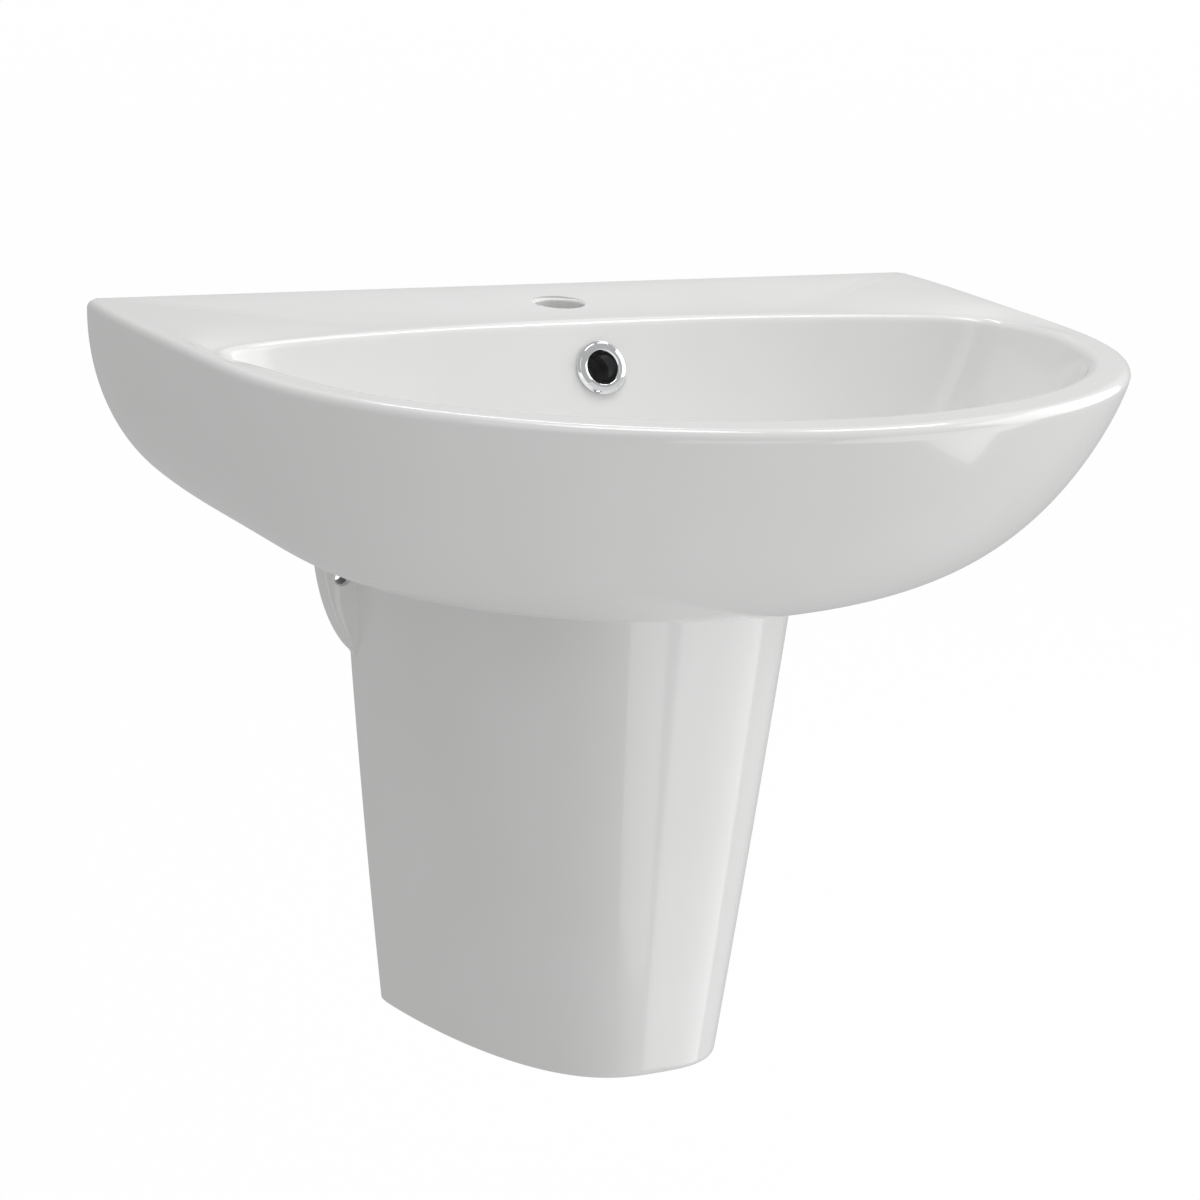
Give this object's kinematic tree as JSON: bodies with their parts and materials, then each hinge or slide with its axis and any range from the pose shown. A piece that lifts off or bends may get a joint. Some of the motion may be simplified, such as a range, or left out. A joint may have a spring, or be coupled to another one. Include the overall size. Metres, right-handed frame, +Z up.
{
  "type": "half pedestal sink",
  "caption": "Wall-hung ceramic washbasin with an overflow and one tap hole, a half pedestal that hides the pipes, a plug that lifts out, a slotted waste and a bottle trap.",
  "frame": {"origin": "midway between the two wall bolts, on the wall's face", "axes": "+X to the right seen from the front, +Y into the wall, +Z up"},
  "size_m": [0.65, 0.562, 0.5453],
  "materials": {
    "white_china": "gloss",
    "bright_chrome": "polished",
    "trap_chrome": "polished",
    "zinc_steel": "satin",
    "black_rubber": "matt",
    "white_plastic": "satin",
    "cream_plastic": "satin"
  },
  "bodies": {
    "fixed": {"basin": "white_china", "semi_pedestal": "white_china", "overflow_ring": "bright_chrome", "hanger_bolts": "zinc_steel", "bolt_bushes": "white_plastic", "bolt_washers": "zinc_steel", "bolt_nuts": "zinc_steel", "waste_body": "bright_chrome", "waste_gasket": "black_rubber", "waste_taper_seal": "black_rubber", "waste_slip_washer": "white_plastic", "waste_back_nut": "trap_chrome", "plug_cartridge": "cream_plastic", "inlet_nut": "trap_chrome", "inlet_washer": "black_rubber", "dip_pipe": "trap_chrome", "top_nut": "trap_chrome", "top_seal": "black_rubber", "trap_body": "trap_chrome", "outlet_nut": "trap_chrome", "outlet_seal": "black_rubber", "outlet_pipe": "trap_chrome", "wall_flange": "trap_chrome"},
    "plug": {"plug_stem": "zinc_steel", "plug_seal": "black_rubber", "plug_cap": "bright_chrome"},
    "cup_ring": {"cup_seal": "black_rubber"},
    "cup": {"trap_cup": "trap_chrome"}
  },
  "joints": [
    {"name": "plug_lift", "type": "slide", "parent": "fixed", "child": "plug", "axis": [0, 0, 1], "range_m": [0, 0.008]},
    {"name": "cup_drop", "type": "slide", "parent": "fixed", "child": "cup_ring", "axis": [0, 0, 1], "range_m": [-0.0091, 0]},
    {"name": "cup_turn", "type": "hinge", "parent": "cup_ring", "child": "cup", "pos_m": [0, -0.228, 0], "axis": [0, 0, 1], "range_deg": [-1080, 0]}
  ],
  "couplings": [
    {"joint": "cup_drop", "follows": "cup_turn", "m_per_rad": 0.00047746}
  ]
}
